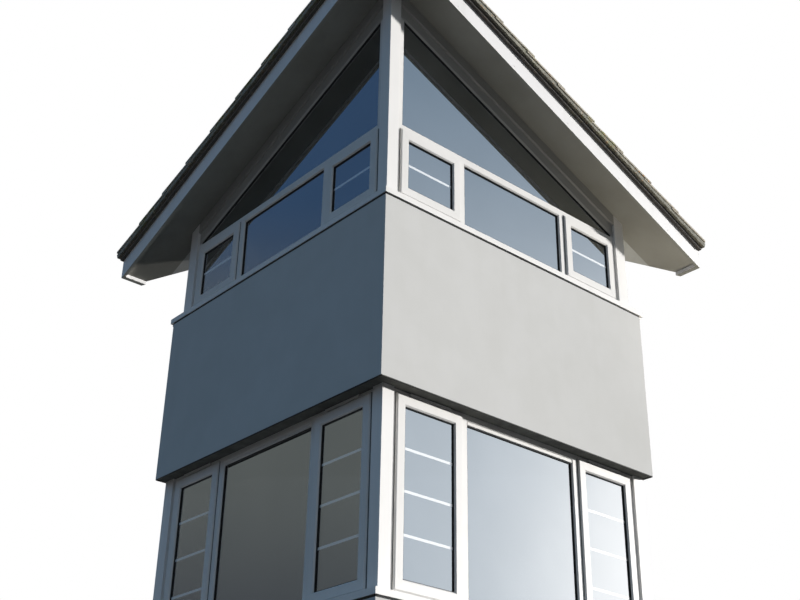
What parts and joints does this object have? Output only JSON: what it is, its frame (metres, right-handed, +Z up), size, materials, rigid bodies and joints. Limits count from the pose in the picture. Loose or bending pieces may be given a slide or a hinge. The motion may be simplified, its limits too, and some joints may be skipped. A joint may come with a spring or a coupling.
{
  "type": "corner bay window",
  "caption": "Square-cornered glazed bay of stacked storeys with rendered spandrels, white framed windows and a roof whose verges rise to the corner",
  "frame": {"origin": "centre of the base, on the ground", "axes": "+Z up, the glazed corner towards -Y, the open side that meets the building towards +Y"},
  "size_m": [4.732, 2.4976, 8.2705],
  "materials": {
    "smooth_render": "smooth painted render",
    "white_frame": "satin white plastic",
    "window_glass": "clear sealed units",
    "white_board": "painted white board",
    "inner_board": "painted board",
    "ceiling_board": "painted plasterboard",
    "floor_deck": "plain concrete and screed",
    "roof_tile": "weathered concrete tile",
    "fibre_cement": "thin grey sheet",
    "buff_brick": "buff stock brick"
  },
  "bodies": {
    "root": {"bargeboards": "white_board", "brick_plinth": "buff_brick", "ceiling": "ceiling_board", "eaves_boards": "white_board", "first_casements": "white_frame", "first_cheeks": "smooth_render", "first_corner_post": "white_frame", "first_end_posts": "white_frame", "first_floor": "floor_deck", "first_frames": "white_frame", "first_glass": "window_glass", "first_sill": "white_frame", "first_spandrel_left": "smooth_render", "first_spandrel_right": "smooth_render", "first_window_boards": "inner_board", "gable_frames": "white_frame", "gable_glass": "window_glass", "glazing_beads": "white_frame", "ground_apron_left": "smooth_render", "ground_apron_right": "smooth_render", "ground_casements": "white_frame", "ground_cheeks": "smooth_render", "ground_corner_post": "white_frame", "ground_end_posts": "white_frame", "ground_floor": "floor_deck", "ground_frames": "white_frame", "ground_glass": "window_glass", "ground_sill": "white_frame", "ground_window_boards": "inner_board", "hip_tiles": "roof_tile", "rake_trims": "white_board", "roof_deck_left": "ceiling_board", "roof_deck_right": "ceiling_board", "second_casements": "white_frame", "second_cheeks": "smooth_render", "second_corner_post": "white_frame", "second_end_posts": "white_frame", "second_floor": "floor_deck", "second_frames": "white_frame", "second_glass": "window_glass", "second_sill": "white_frame", "second_spandrel_left": "smooth_render", "second_spandrel_right": "smooth_render", "second_window_boards": "inner_board", "soffit_left": "white_board", "soffit_right": "white_board", "tiles_left": "roof_tile", "tiles_right": "roof_tile", "trickle_vents": "white_frame", "undercloak": "fibre_cement", "wall_returns": "smooth_render", "window_handles": "white_frame"}
  },
  "joints": []
}
